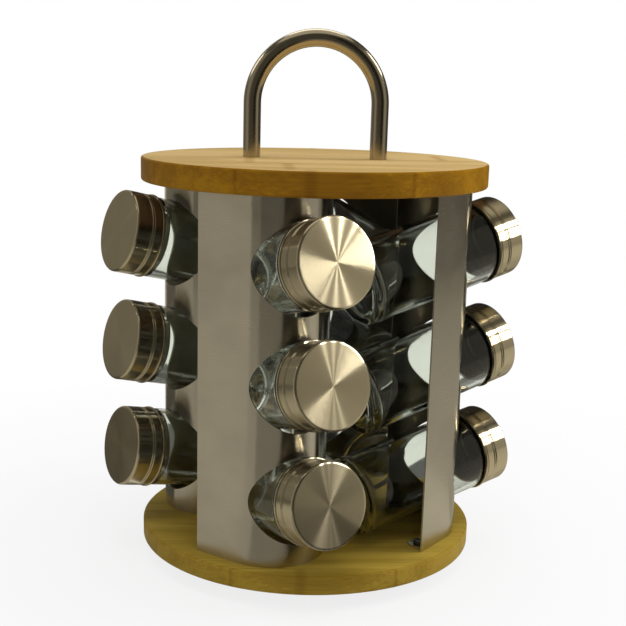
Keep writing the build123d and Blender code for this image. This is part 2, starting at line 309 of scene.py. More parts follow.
def bamboo_finish(name, light, dark, sheen):
    """Glued bamboo: strips of their own tone along one way, fine fibres, faint joints and dark knuckles.

    A strip's number is the whole part of y / width, and its tone a random number of that strip. The grain is
    fibres, long along x and fine across, times a share, plus clouds, plus the tone times a share. Joints lie
    where two strips meet, and knuckles cross each strip at an even pitch along x, shifted by its tone.
    """
    fibre_grain = (14.0, 900.0, 900.0)
    fibre_noise = (5.0, 0.62)
    fibre_share = 0.75
    fibre_bump = (0.22, 0.0003)
    cloud_grain = (7.0, 60.0, 60.0)
    cloud_noise = (3.0, 0.55)
    tone_share = 0.30
    tone_stops = (0.60, 0.88, 1.0)
    half_strip = 0.5
    joint_edges = (0.0, 0.022)
    joint_depth = 1.0
    joint_tint = (0.80, 0.73, 0.65)
    knuckle_shift = 0.21
    knuckle_pitch = 0.095
    knuckle_edges = (0.0008, 0.0042)
    knuckle_depth = 0.42
    knuckle_tint = (0.60, 0.48, 0.34)
    sheen_change = (0.08, 0.12)
    oil_specular = 0.12
    material, tree, shader = new_finish(name, light, 0.0, sheen)
    links = tree.links
    place = object_grid(tree, (1.0, 1.0, 1.0), bamboo_turn)
    split = add_node(tree, "SeparateXYZ")
    links.new(place, split.inputs["Vector"])
    across = add_math(tree, "MULTIPLY", split.outputs["Y"], 1.0 / strip_width)
    strip = add_node(tree, "TexWhiteNoise", {"noise_dimensions": "1D"})
    links.new(add_math(tree, "FLOOR", across), strip.inputs["W"])
    tone = strip.outputs["Value"]

    shifted = add_node(tree, "VectorMath", {"operation": "ADD"})
    links.new(stretched(tree, place, fibre_grain), shifted.inputs[0])
    links.new(strip.outputs["Color"], shifted.inputs[1])
    fibre = add_noise(tree, shifted.outputs["Vector"], *fibre_noise)
    cloud = add_noise(tree, stretched(tree, place, cloud_grain), *cloud_noise)
    grain = add_math(tree, "MULTIPLY_ADD", fibre, fibre_share, cloud)
    grain = add_math(tree, "MULTIPLY_ADD", tone, tone_share, grain)
    middle = tuple((bright + dim) / 2 for bright, dim in zip(light, dark))
    colour = ramp(tree, grain, tone_stops, (dark, middle, light))

    from_joint = add_math(tree, "PINGPONG", add_math(tree, "FRACT", across), half_strip)
    colour = lined(tree, colour, from_joint, joint_edges, joint_depth, joint_tint)
    along = add_math(tree, "MULTIPLY_ADD", tone, knuckle_shift, split.outputs["X"])
    from_knuckle = add_math(tree, "PINGPONG", along, knuckle_pitch)
    colour = lined(tree, colour, from_knuckle, knuckle_edges, knuckle_depth, knuckle_tint)
    links.new(colour, shader.inputs["Base Color"])
    vary_roughness(tree, shader, fibre, noise_middle, sheen, sheen_change)
    add_bump(tree, shader, fibre, *fibre_bump)
    shader.inputs["Specular IOR Level"].default_value = oil_specular
    return material


base_bamboo = bamboo_finish("base_bamboo", base_light, base_dark, base_sheen)
shaded_base_rim = bamboo_finish("shaded_base_rim", shaded_base_rim_light, shaded_base_rim_dark, rim_sheen)
shaded_under_bamboo = bamboo_finish("shaded_under_bamboo", shaded_under_light, shaded_under_dark, under_sheen)
add_board("base_board_turned", base_low, base_top, [base_bamboo, shaded_base_rim, shaded_under_bamboo], "base_board")

# Panels. Four alike pieces of satin stainless sheet, each a flat strip bent on into a part cylinder with
# three punched holes, set as a pinwheel and screwed to both boards through small bent tabs.
column_names = ("front", "right", "back", "left")
row_names = ("bottom", "middle", "top")
row_tilts = (10.5, 13.0, 13.0)
top_low = 0.2014
sheet = 0.0008
panel_reach = 0.062
column_offset = 0.044
bend_radius = 0.027
strip_angle = radians(68.0)
end_angle = radians(76.0)
strip_length = 0.027
strip_columns = 9
first_row = 0.0338
row_pitch = 0.0576
jar_radius = 0.021
hole_play = 0.0014
hole_sides = 192
hole_rings = 9
ring_crowding = 1.3
tab_width = 0.010
tab_length = 0.011
tab_corner = 0.0025
tab_bite = 0.8 * sheet
strip_tab_inset = 0.009
end_tab_inset = 0.007
panel_crease = 30.0
panel_grey = (0.56, 0.53, 0.47)
panel_roughness = 0.22
panel_brushing = 0.90
# Painted shade: the sheet's inner face gets a darker grey than its outer face, for the shade inside the rack.
shaded_inside_grey = (0.23, 0.22, 0.18)
inside_roughness = 0.36
inside_brushing = 0.40
cut_grey = (0.72, 0.70, 0.66)
cut_roughness = 0.50
row_heights = [base_top + first_row + row_pitch * row for row in range(len(row_names))]
hole_radii = [jar_radius / cos(radians(tilt)) + hole_play for tilt in row_tilts]


def sheet_point(run, height, depth):
    """Place on the sheet at a run along it, in metres from the start of the arc, a height and a depth.

    The arc is centre + (R - depth)(sin f, -cos f) with f = run / R - strip angle. Before it the strip runs
    straight on along the tangent.
    """
    turn = np.maximum(run, 0.0) / bend_radius - strip_angle
    reach = bend_radius - depth
    before = np.minimum(run, 0.0)
    x = -column_offset + reach * np.sin(turn) + before * cos(strip_angle)
    y = bend_radius - panel_reach - reach * np.cos(turn) - before * sin(strip_angle)
    return np.stack([x, y, height + 0 * x], axis=-1)


def hole_patch(height, radius):
    """Rows of (run, height) round one hole, from its edge out to the box that one row of the panel fills.

    The hole is round as seen from straight in front, so its run is R times the arc sine of its place across
    over R. Each row lies between hole and box by a power of its number, so rows crowd at the hole.
    """
    angle = np.arange(hole_sides) * 2 * pi / hole_sides
    across, up = np.cos(angle), np.sin(angle)
    hole_run = (np.arcsin(radius * across / bend_radius) + strip_angle) * bend_radius
    hole_height = height + radius * up
    square = np.maximum(np.abs(across), np.abs(up))
    side = np.where(across > 0, end_angle, strip_angle) * bend_radius
    box_run = strip_angle * bend_radius + side * across / square
    box_height = height + row_pitch / 2 * up / square
    share = np.linspace(0.0, 1.0, hole_rings)[:, None] ** ring_crowding
    return hole_run + (box_run - hole_run) * share, hole_height + (box_height - hole_height) * share


def panel_mesh():
    """Closed sheet with its holes: points, quads, the finish of every quad and the (run, height) map.

    On the flat blank each row is a patch round its hole, and a band below, a band above and the strip fill
    the rest. The blank is bent once for the outer face and once for the inner face, and each edge that only
    one quad has gets a cut face between the two.
    """
    blank_digits = 8
    patches = [hole_patch(height, radius) for height, radius in zip(row_heights, hole_radii)]
    outlines = [(run[-1].round(blank_digits), height[-1]) for run, height in patches]
    edge_run = np.unique(outlines[0][0])
    low, high = outlines[0][1].min(), outlines[-1][1].max()
    fold_heights = [height[run == 0.0] for run, height in outlines]
    strip_height = np.unique(np.hstack(fold_heights + [[base_top, top_low]]).round(blank_digits))
    strip_run = np.linspace(-strip_length, 0.0, strip_columns)
    bands = [(edge_run, [base_top, low]), (edge_run, [high, top_low]), (strip_run, strip_height)]
    patch_faces = grid_faces(hole_rings, hole_sides, wrap=True)[:, ::-1]
    grids = [(run, height, patch_faces) for run, height in patches]
    grids += [(*np.meshgrid(run, height), grid_faces(len(height), len(run))) for run, height in bands]

    starts = np.cumsum([0] + [run.size for run, height, quads in grids])
    all_quads = np.vstack([quads + start for (run, height, quads), start in zip(grids, starts)])
    flat = np.vstack([np.stack([run.ravel(), height.ravel()], axis=-1) for run, height, quads in grids])
    flat, number = np.unique(flat.round(blank_digits), axis=0, return_inverse=True)
    outer = number.reshape(-1)[all_quads]
    count = len(flat)

    sides = np.stack([outer, np.roll(outer, -1, axis=1)], axis=-1).reshape(-1, 2)
    _, first, uses = np.unique(np.sort(sides, axis=1), axis=0, return_index=True, return_counts=True)
    rim = sides[first[uses == 1]]
    cut = np.stack([rim[:, 1], rim[:, 0], rim[:, 0] + count, rim[:, 1] + count], axis=-1)
    points = np.vstack([sheet_point(flat[:, 0], flat[:, 1], depth) for depth in (0.0, sheet)])
    faces = np.vstack([outer, outer[:, ::-1] + count, cut])
    marks = np.repeat([0, 2, 1], [len(outer), len(outer), len(cut)])
    return points, faces, marks, np.vstack([flat, flat])[faces].reshape(-1, 2)


def tab_mesh(run, low):
    """Tab that stands off the sheet's inner face at a run: a four-cornered section carried inwards.

    Its half width is the tab's own, less a quarter circle of the corner's radius over the last of its reach.
    """
    corner_rows = 9
    turn = max(run, 0.0) / bend_radius - strip_angle
    inward = np.array([-sin(turn), cos(turn), 0.0])
    sideways = np.array([cos(turn), sin(turn), 0.0])
    upward = np.array([0.0, 0.0, 1.0])
    root = sheet_point(np.array(run), np.array(low), tab_bite)
    rounding = tab_corner * np.sin(np.linspace(0.0, pi / 2, corner_rows))
    reach = np.hstack([[0.0], tab_length - tab_corner + rounding])
    bow = np.clip((reach - tab_length + tab_corner) / tab_corner, 0.0, 1.0)
    half = tab_width / 2 - tab_corner * (1.0 - np.sqrt(1.0 - bow**2))
    section = np.array([[-1.0, 0.0], [1.0, 0.0], [1.0, 1.0], [-1.0, 1.0]])
    points = root + reach[:, None, None] * inward
    points = points + (half[:, None] * section[:, 0])[..., None] * sideways
    points = points + (sheet * section[:, 1])[None, :, None] * upward
    last = 4 * (len(reach) - 1)
    ends = np.array([[3, 2, 1, 0], [last, last + 1, last + 2, last + 3]])
    return points.reshape(-1, 3), np.vstack([grid_faces(len(reach), 4, wrap=True), ends])


def vary_tone(tree, shader, source, stops, colour, change):
    """Base colour from a little deeper to a little paler as a source output goes between two stops."""
    deep = tuple(share * (1.0 - change) for share in colour)
    pale = tuple(min(1.0, share * (1.0 + change)) for share in colour)
    tree.links.new(ramp(tree, source, stops, (deep, pale)), shader.inputs["Base Color"])


def brush_along(tree, shader, brushing):
    """Gloss drawn out across brush lines that run along the first way of the piece's map."""
    quarter = 0.25
    tangent = add_node(tree, "Tangent", {"direction_type": "UV_MAP", "uv_map": "around"})
    tree.links.new(tangent.outputs["Tangent"], shader.inputs["Tangent"])
    shader.inputs["Anisotropic"].default_value = brushing
    shader.inputs["Anisotropic Rotation"].default_value = quarter


def brushed_finish(name, colour, roughness, brushing):
    """Satin sheet: hair-fine scratches along the sheet and faint rolling bands, on the (run, height) map."""
    hair_grain = (60.0, 9000.0, 1.0)
    hair_noise = (3.0, 0.6)
    hair_share = 0.6
    hair_bump = (0.03, 0.0001)
    band_grain = (30.0, 45.0, 1.0)
    band_noise = (2.0, 0.5)
    grain_span = (0.5, 1.1)
    sheen_change = (0.05, 0.06)
    tone_stops = (0.45, 1.0)
    tone_change = 0.10
    material, tree, shader = new_finish(name, colour, 1.0, roughness)
    blank = add_node(tree, "UVMap", {"uv_map": "around"}).outputs["UV"]
    hair = add_noise(tree, stretched(tree, blank, hair_grain), *hair_noise, flat=True)
    band = add_noise(tree, stretched(tree, blank, band_grain), *band_noise, flat=True)
    grain = add_math(tree, "MULTIPLY_ADD", hair, hair_share, band)
    vary_roughness(tree, shader, grain, grain_span, roughness, sheen_change)
    vary_tone(tree, shader, grain, tone_stops, colour, tone_change)
    brush_along(tree, shader, brushing)
    add_bump(tree, shader, hair, *hair_bump)
    return material


def carried_round(points, angle):
    """Points turned about the rack's axis by an angle."""
    spin = np.array([[cos(angle), -sin(angle), 0.0], [sin(angle), cos(angle), 0.0], [0.0, 0.0, 1.0]])
    return points @ spin.T


panel_steel = brushed_finish("panel_steel", panel_grey, panel_roughness, panel_brushing)
# The inner face's darker grey is painted shade inside the rack.
shaded_mill_steel = brushed_finish("shaded_mill_steel", shaded_inside_grey, inside_roughness, inside_brushing)
cut_steel = plated_finish("cut_edge", cut_grey, cut_roughness)
panel_points, panel_faces, panel_marks, panel_uv = panel_mesh()
end_run = (strip_angle + end_angle) * bend_radius - end_tab_inset
for tab_run in (strip_tab_inset - strip_length, end_run):
    for tab_low in (base_top, top_low - sheet):
        tab_points, tab_faces = tab_mesh(tab_run, tab_low)
        panel_faces = np.vstack([panel_faces, tab_faces + len(panel_points)])
        panel_points = np.vstack([panel_points, tab_points])
        panel_marks = np.hstack([panel_marks, np.zeros(len(tab_faces))])
        panel_uv = np.vstack([panel_uv, tab_points[tab_faces][..., :2].reshape(-1, 2)])
for quarter, column in enumerate(column_names):
    make_piece(
        "panel_" + column + "_sheet",
        carried_round(panel_points, quarter * pi / 2),
        panel_faces,
        [panel_steel, cut_steel, shaded_mill_steel],
        "carousel",
        "panel_steel",
        "panel_" + column,
        crease=panel_crease,
        uv=panel_uv,
        marks=panel_marks,
    )

# Panel screws. Slotted dark-plated wood screws through the tabs, into the base board and up into the top
# board.
dress("panel_base_screws", screw_finish)
dress("panel_top_screws", screw_finish)

# Top board. The same bamboo disc as the base, a little thicker and paler. The feet of the handle are let into
# it and screwed from below.
top_high = 0.2134
top_light = (0.78, 0.55, 0.235)
top_dark = (0.54, 0.35, 0.115)
top_sheen = 0.40
# Painted shade: the top's rim colours are darker than its face's, partly darker cut grain and partly painted
# shade.
shaded_top_rim_light = (0.36, 0.17, 0.004)
shaded_top_rim_dark = (0.21, 0.088, 0.002)
top_bamboo = bamboo_finish("top_bamboo", top_light, top_dark, top_sheen)
shaded_top_rim = bamboo_finish("shaded_top_rim", shaded_top_rim_light, shaded_top_rim_dark, rim_sheen)
add_board("top_board_turned", top_low, top_high, [top_bamboo, shaded_top_rim, shaded_under_bamboo], "top_board")

# Handle. One length of polished stainless tube bent to a half-round arch, its legs let into the top board
# and held from below by a screw into a plug in each end.
handle_spacing = 0.066
tube_radius = 0.0045
tube_sides = 40
handle_rise = 0.065
handle_turn = radians(-30.0)
handle_crease = 40.0
socket_depth = 0.007
leg_rows = 12
arch_rows = 72
polish_grey = (0.42, 0.375, 0.30)
polish_roughness = 0.13


def handle_mesh():
    """Tube up one leg, over a half circle and down the other leg, with both feet closed to their middles.

    A point is the tube's middle plus the tube's radius times (cos b, sin b), where cos b lies along the
    arch's own radius and sin b square to the arch's plane.
    """
    arch = handle_spacing / 2
    spring = top_high + handle_rise - tube_radius - arch
    foot = top_high - socket_depth
    leg = np.linspace(foot, spring, leg_rows)
    bend = np.linspace(pi, 0.0, arch_rows)[1:-1]
    out = np.hstack([0 * leg - arch, arch * np.cos(bend), 0 * leg + arch])
    up = np.hstack([leg, spring + arch * np.sin(bend), leg[::-1]])
    tilt = np.hstack([0 * leg + pi, bend, 0 * leg])
    angle = np.arange(tube_sides) * 2 * pi / tube_sides
    swell = tube_radius * np.cos(angle)[None, :]
    x = out[:, None] + swell * np.cos(tilt)[:, None]
    z = up[:, None] + swell * np.sin(tilt)[:, None]
    y = np.broadcast_to(tube_radius * np.sin(angle), x.shape)
    points = np.stack([x, y, z], axis=-1)
    middles = points.mean(axis=1, keepdims=True) + 0 * points
    closed = np.concatenate([middles[:1], points, middles[-1:]])
    faces = grid_faces(len(closed), tube_sides, wrap=True)[:, ::-1]
    return carried_round(closed.reshape(-1, 3), handle_turn), faces


def polished_finish(name, colour, roughness):
    """Polished tube: near mirror with faint smears from handling."""
    smear_grain = (90.0, 90.0, 45.0)
    smear_noise = (5.0, 0.65)
    smear_span = (0.35, 0.75)
    sheen_change = (0.03, 0.10)
    material, tree, shader = new_finish(name, colour, 1.0, roughness)
    smear = add_noise(tree, object_grid(tree, smear_grain), *smear_noise)
    vary_roughness(tree, shader, smear, smear_span, roughness, sheen_change)
    return material


handle = make_piece(
    "handle_tube",
    *handle_mesh(),
    [polished_finish("handle_polish", polish_grey, polish_roughness)],
    "carousel",
    "handle_steel",
    "handle",
    crease=handle_crease,
)
dress("handle_inserts", zinc_finish)
dress("handle_screws", screw_finish)

# Jars. Twelve pressed clear-glass jars, each with a thick foot, a short round shoulder and a beaded neck,
# hung in the panels' holes with their necks outwards and a little up.
jar_wall = 0.0022
foot_thickness = 0.0045
foot_round = 0.003
foot_hollow = 0.0014
body_length = 0.0755
shoulder_length = 0.0027
neck_radius = 0.0183
neck_length = 0.0144
bead_height = 0.0004
bead_width = 0.002
bead_places = (0.004, 0.009)
lip_round = 0.0005
cap_seat_gap = 0.0003
liner_top = 0.001
cap_wall = 0.0006
face_reaches = (0.026, 0.0275, 0.0275, 0.0305)
jar_top_play = 0.0003
jar_sides = 96
jar_crease = 60.0
glass_tint = (0.88, 0.905, 0.855)
glass_roughness = 0.045
neck_low = body_length + shoulder_length
mouth = neck_low + neck_length
cap_face = mouth + cap_seat_gap + liner_top + cap_wall


def quarter_rows(low, high, wide, narrow, count):
    """Rows of a quarter ellipse from (wide, low), where it rises straight up, to (narrow, high)."""
    angle = np.linspace(0.0, pi / 2, count)
    return np.stack([narrow + (wide - narrow) * np.cos(angle), low + (high - low) * np.sin(angle)], axis=-1)


def jar_rows():
    """Closed profile of the glass: hollow foot, body, shoulder, beaded neck and lip, then back down inside.

    The foot's hollow is a parabola, and each bead a half ellipse on the neck.
    """
    hollow_points = 10
    heel_points = 9
    side_points = 6
    shoulder_points = 12
    neck_points = 70
    lip_points = 5
    wall_points = 5
    bowl_points = 8
    floor_points = 6
    flat = jar_radius - foot_round
    bore = neck_radius - jar_wall
    inner = jar_radius - jar_wall
    floor_height = foot_thickness + foot_round
    lip_height = mouth - lip_round
    under_radius = np.linspace(0.0, flat, hollow_points)
    under = np.stack([under_radius, foot_hollow * (1.0 - (under_radius / flat) ** 2)], axis=-1)
    corner = arc_rows((flat, foot_round), foot_round, -90, 0, heel_points)
    body = np.linspace((jar_radius, foot_round), (jar_radius, body_length), side_points)
    shoulder = quarter_rows(body_length, neck_low, jar_radius, neck_radius, shoulder_points)
    rise = np.linspace(neck_low, lip_height, neck_points)
    bead_middles = neck_low + np.array(bead_places)[:, None] + bead_width / 2
    from_bead = (rise - bead_middles) / (bead_width / 2)
    swell = np.sqrt(np.clip(1.0 - from_bead**2, 0.0, 1.0)).sum(axis=0)
    neck = np.stack([neck_radius + bead_height * swell, rise], axis=-1)
    lip_out = arc_rows((neck_radius - lip_round, lip_height), lip_round, 0, 90, lip_points)
    lip_in = arc_rows((bore + lip_round, lip_height), lip_round, 90, 180, lip_points)
    throat = np.array([[bore, neck_low + neck_length / 2], [bore, neck_low]])
    inside = quarter_rows(body_length, neck_low, inner, bore, shoulder_points)[::-1]
    wall = np.linspace((inner, body_length), (inner, floor_height), wall_points)
    bowl = arc_rows((inner - foot_round, floor_height), foot_round, 0, -90, bowl_points)
    floor = np.linspace((inner - foot_round, foot_thickness), (0.0, foot_thickness), floor_points)
    outside = [under, corner[1:], body[1:], shoulder[1:], neck[1:], lip_out[1:], lip_in]
    return np.vstack(outside + [throat, inside[1:], wall[1:], bowl[1:], floor[1:]])


def seated(points, row, quarter):
    """Points drawn on the jar's own axis, leant out of the panel and put in the hole of a row and column."""
    tilt = radians(row_tilts[row])
    axis_height = row_heights[row] + hole_play - jar_top_play
    way = np.array([0.0, -cos(tilt), sin(tilt)])
    foot = np.array([-column_offset, -panel_reach, axis_height]) + way * (face_reaches[quarter] - cap_face)
    turn = pi / 2 - tilt
    lean = np.array([[1.0, 0.0, 0.0], [0.0, cos(turn), -sin(turn)], [0.0, sin(turn), cos(turn)]])
    return carried_round(points @ lean.T + foot, quarter * pi / 2)


def add_twelve(piece, points, faces, material, body, slot, node, **options):
    """One copy of a turned shape in each hole, named by its column and row."""
    pieces = []
    for row, row_name in enumerate(row_names):
        for quarter, column in enumerate(column_names):
            ending = "_" + column + "_" + row_name
            place = seated(points, row, quarter)
            names = (body + ending, slot, node + ending)
            pieces.append(make_piece(piece + ending, place, faces, [material], *names, **options))
    return pieces


def glass_finish(name, tint, roughness):
    """Clear pressed glass with a trace of green and the faint waves of its mould."""
    glass_index = 1.5
    wave_grain = (55.0, 55.0, 55.0)
    wave_noise = (1.0, 0.5)
    wave_bump = (0.02, 0.001)
    material, tree, shader = new_finish(name, tint, 0.0, roughness)
    shader.inputs["Transmission Weight"].default_value = 1.0
    shader.inputs["IOR"].default_value = glass_index
    wave = add_noise(tree, object_grid(tree, wave_grain), *wave_noise)
    add_bump(tree, shader, wave, *wave_bump)
    return material


jar_glass = glass_finish("jar_glass", glass_tint, glass_roughness)
jar_shape = turned_grid(jar_rows(), jar_sides)
add_twelve("glass", *jar_shape, jar_glass, "jar", "glass", "jar", crease=jar_crease)

# Cap liners. The black plastic inner half of each cap grips the neck; its rim shows as a dark ring inside
# the steel.
cap_radius = 0.0214
cap_length = 0.016
liner_inset = 0.0004
liner_fit = 0.00005
liner_ridge = 0.0003
ridge_pitch = 0.003
neck_play = 0.00035
rim_chamfer = 0.0004
bore_chamfer = (0.0008, 0.0006)
seal_shares = (0.9, 0.5, 0.0)
liner_sides = 96
liner_black = (0.034, 0.035, 0.024)
liner_roughness = 0.35
liner_grain = 900.0
cap_rim = cap_face - cap_length
liner_seat = mouth + cap_seat_gap
shell_bore = cap_radius - cap_wall


def liner_rows():
    """Closed cup: flat seal, bore with shallow grip ridges, chamfered rim and outside that fits the shell.

    The bore's radius swells by half the ridge times one plus a cosine of the height.
    """
    bore_points = 60
    bore = neck_radius + bead_height + neck_play
    outside = shell_bore - liner_fit
    low = cap_rim + liner_inset
    top = liner_seat + liner_top - liner_fit
    rise = np.linspace(low + bore_chamfer[1], liner_seat, bore_points)
    ridge = liner_ridge * 0.5 * (1.0 + np.cos((rise - low) * 2 * pi / ridge_pitch))
    inside = np.stack([bore + ridge, rise], axis=-1)
    seal = np.array([[bore * share, liner_seat] for share in seal_shares])
    back = np.array([[0.0, top], [outside, top], [outside, low + rim_chamfer]])
    rim = np.array([[outside - rim_chamfer, low], [bore + bore_chamfer[0], low]])
    return np.vstack([back, rim, inside, seal])[::-1]


liner_plastic = moulded_finish("liner_plastic", liner_black, liner_roughness, liner_grain)
liner_shape = turned_grid(liner_rows(), liner_sides)
add_twelve("liner_cup", *liner_shape, liner_plastic, "cap", "liner_plastic", "liner")

# Caps. Spun stainless shells pressed over the liners, each with a rolled bead at the rim, a groove behind it,
# two fine grooves in the skirt and a face brushed in circles.
bead_rise = 0.0005
bead_run = 0.0014
groove_depths = (0.0008, 0.00035, 0.00035)
groove_run = 0.0007
groove_places = (0.0014, 0.0058, 0.0070)
face_round = 0.0012
cap_sides = 128
cap_grey = (0.63, 0.565, 0.425)
cap_roughness = 0.185
cap_brushing = 1.0


def cap_rows():
    """Closed shell: bore, bead, grooved skirt, rounded edge and flat face, from middle back to middle.

    The bead is a half ellipse on the skirt, and each groove a parabola cut into it.
    """
    bead_points = 13
    skirt_points = 110
    edge_points = 8
    face_points = 40
    inner_face = cap_face - cap_wall
    bore = np.array([[0.0, inner_face], [shell_bore, inner_face], [shell_bore, cap_rim]])
    rim = np.array([[cap_radius, cap_rim]])
    round_rows = arc_rows((0.0, 0.0), 1.0, -90, 90, bead_points)
    bead = np.array([cap_radius, cap_rim + bead_run / 2]) + np.array([bead_rise, bead_run / 2]) * round_rows
    rise = np.linspace(cap_rim + bead_run, cap_face - face_round, skirt_points)
    groove_middles = cap_rim + np.array(groove_places)[:, None] + groove_run / 2
    from_groove = (rise - groove_middles) / (groove_run / 2)
    dip = (np.array(groove_depths)[:, None] * np.clip(1.0 - from_groove**2, 0.0, 1.0)).sum(axis=0)
    skirt = np.stack([cap_radius - dip, rise], axis=-1)
    edge = arc_rows((cap_radius - face_round, cap_face - face_round), face_round, 0, 90, edge_points)
    face = np.linspace((cap_radius - face_round, cap_face), (0.0, cap_face), face_points)
    return np.vstack([bore, rim, bead[1:], skirt[1:], edge[1:], face[1:]])


def spun_map(rows, sides):
    """Map of a turned grid's face corners: share of the turn one way, share of the rows the other way."""
    row = np.arange(rows - 1)[:, None]
    column = np.arange(sides)[None, :]
    around = np.stack(np.broadcast_arrays(column, column + 1, column + 1, column, row)[:4], axis=-1) / sides
    along = np.stack(np.broadcast_arrays(row, row, row + 1, row + 1, column)[:4], axis=-1) / (rows - 1)
    return np.stack([around, along], axis=-1).reshape(-1, 2)


def spun_finish(name, colour, roughness, brushing):
    """Steel brushed in circles: fine rings that change a little from angle to angle, on the spun map."""
    ring_grain = (2.0, 900.0, 1.0)
    ring_noise = (3.0, 0.6)
    ring_bump = (0.002, 0.0001)
    sheen_change = (0.01, 0.01)
    tone_change = 0.05
    material, tree, shader = new_finish(name, colour, 1.0, roughness)
    turn = add_node(tree, "UVMap", {"uv_map": "around"}).outputs["UV"]
    ring = add_noise(tree, stretched(tree, turn, ring_grain), *ring_noise, flat=True)
    vary_roughness(tree, shader, ring, noise_middle, roughness, sheen_change)
    vary_tone(tree, shader, ring, noise_middle, colour, tone_change)
    brush_along(tree, shader, brushing)
    add_bump(tree, shader, ring, *ring_bump)
    return material


cap_steel = spun_finish("cap_steel", cap_grey, cap_roughness, cap_brushing)
cap_profile = cap_rows()
cap_shape = turned_grid(cap_profile, cap_sides)
cap_uv = spun_map(len(cap_profile), cap_sides)
cap_shells = add_twelve("cap_shell", *cap_shape, cap_steel, "cap", "cap_steel", "cap", uv=cap_uv)

# Floor and surround. A pale table top that runs out into a white room: camera, metal and glass see it white,
# and it keeps a soft shadow close to the rack.
floor_radius = 3.0
floor_sides = 96
floor_pale = (0.80, 0.80, 0.80)
floor_roughness = 0.9
shadow_reach = (0.10, 0.40)
shadow_white = (0.82, 1.0)
room_light = 0.52


def white_share(tree):
    """1 for rays that should meet the white surround: camera, glossy and transmission rays."""
    path = add_node(tree, "LightPath")
    seen = add_math(tree, "MAXIMUM", path.outputs["Is Camera Ray"], path.outputs["Is Glossy Ray"])
    return add_math(tree, "MAXIMUM", seen, path.outputs["Is Transmission Ray"])


def stage_piece(name, points, faces, material):
    """Mesh object of the studio, which is no part of the rack."""
    mesh = bpy.data.meshes.new(name)
    mesh.from_pydata(points.tolist(), [], faces.tolist())
    mesh.materials.append(material)
    piece = bpy.data.objects.new(name, mesh)
    bpy.context.scene.collection.objects.link(piece)
    return piece


def disc(radius, height, sides):
    """Flat disc about the rack's axis, facing up, as points and quads."""
    return turned_grid(np.array([[radius, height], [0.0, height]]), sides)


def floor_finish(name):
    """Pale paint, white to the rays that see the surround and a little less so in reach of the shadow."""
    material, tree, shader = new_finish(name, floor_pale, 0.0, floor_roughness)
    shader.inputs["Specular IOR Level"].default_value = 0.0
    place = add_node(tree, "TexCoord").outputs["Object"]
    reach = add_node(tree, "VectorMath", {"operation": "LENGTH"})
    tree.links.new(place, reach.inputs[0])
    fade = add_node(tree, "MapRange", From_Min=shadow_reach[0], From_Max=shadow_reach[1])
    fade.inputs["To Min"].default_value = shadow_white[0]
    fade.inputs["To Max"].default_value = shadow_white[1]
    tree.links.new(reach.outputs["Value"], fade.inputs["Value"])
    white = add_math(tree, "MULTIPLY", white_share(tree), fade.outputs["Result"])
    glow = add_node(tree, "Emission", Color=(1.0, 1.0, 1.0, 1.0), Strength=1.0)
    mix = add_node(tree, "MixShader")
    tree.links.new(white, mix.inputs["Fac"])
    tree.links.new(shader.outputs["BSDF"], mix.inputs[1])
    tree.links.new(glow.outputs["Emission"], mix.inputs[2])
    tree.links.new(mix.outputs["Shader"], tree.nodes["Material Output"].inputs["Surface"])
    material.cycles.emission_sampling = "NONE"
    return material


stage_piece("floor", *disc(floor_radius, 0.0, floor_sides), floor_finish("floor_paint"))
world = bpy.data.worlds.new("surround")
bpy.context.scene.world = world
world.use_nodes = True
world.cycles.sampling_method = "NONE"
background = world.node_tree.nodes["Background"]
background.inputs["Color"].default_value = (1.0, 1.0, 1.0, 1.0)
level = add_node(world.node_tree, "MapRange", To_Min=room_light, To_Max=1.0)
world.node_tree.links.new(white_share(world.node_tree), level.inputs["Value"])
world.node_tree.links.new(level.outputs["Result"], background.inputs["Strength"])

# Reflection cards. Grey mats on the floor, walls behind them and a ceiling with a skylight, which metal alone
# shows, and a veil over the same places that glass alone shows, as cards round a photographer's table. Each
# sector has its bearings in degrees to the right of the camera and the greys of its mat, wall and veil.
photo_azimuth = -33.5
mat_reach = (0.093, 0.60)
mat_height = 0.001
wall_reach = 0.70
wall_foot = 0.04
wall_height = 0.90
ceiling_grey = 0.12
ceiling_sides = 48
skylight_grey = 0.7
skylight_reach = 0.42
skylight_drop = 0.01
veil_grey = 0.15
card_warmth = (1.0, 0.92, 0.71)
veil_tint = (0.99, 1.0, 0.94)
card_sectors = (
    (-160, -140, 0.50, 0.50, veil_grey),
    (-140, -96, 0.09, 0.20, veil_grey),
    (-96, -82, 0.40, 0.24, veil_grey),
    (-82, -48, 0.44, 0.36, veil_grey),
    (-48, -30, 0.40, 0.14, veil_grey),
    (-30, 13, 0.26, 0.09, veil_grey),
    (13, 48, 0.015, 0.03, veil_grey),
    (48, 60, 0.03, 0.26, veil_grey),
    (60, 70, 0.40, 0.42, veil_grey),
    (70, 88, 0.60, 0.40, veil_grey),
    (88, 98, 0.62, 0.22, veil_grey),
    (98, 130, 0.42, 0.10, 0.70),
    (130, 142, 0.03, 0.03, veil_grey),
    (142, 154, 0.50, 0.10, veil_grey),
    (154, 172.5, 0.03, 0.03, 1.0),
    (172.5, 190.5, 0.02, 0.02, 0.015),
    (190.5, 200, 0.06, 0.06, 1.0),
)


def glow_card(name, tint, grey, on_glass, points, faces):
    """Evenly lit card that only metal shows, or only glass where it is seen through it."""
    paint = bpy.data.materials.new(name)
    paint.use_nodes = True
    tree = paint.node_tree
    tree.nodes.remove(tree.nodes["Principled BSDF"])
    glow = add_node(tree, "Emission", Color=(*tint, 1.0), Strength=grey)
    tree.links.new(glow.outputs["Emission"], tree.nodes["Material Output"].inputs["Surface"])
    paint.cycles.emission_sampling = "NONE"
    card = stage_piece(name, points, faces, paint)
    card.visible_camera = False
    card.visible_diffuse = False
    card.visible_glossy = not on_glass
    card.visible_transmission = on_glass
    card.visible_shadow = False


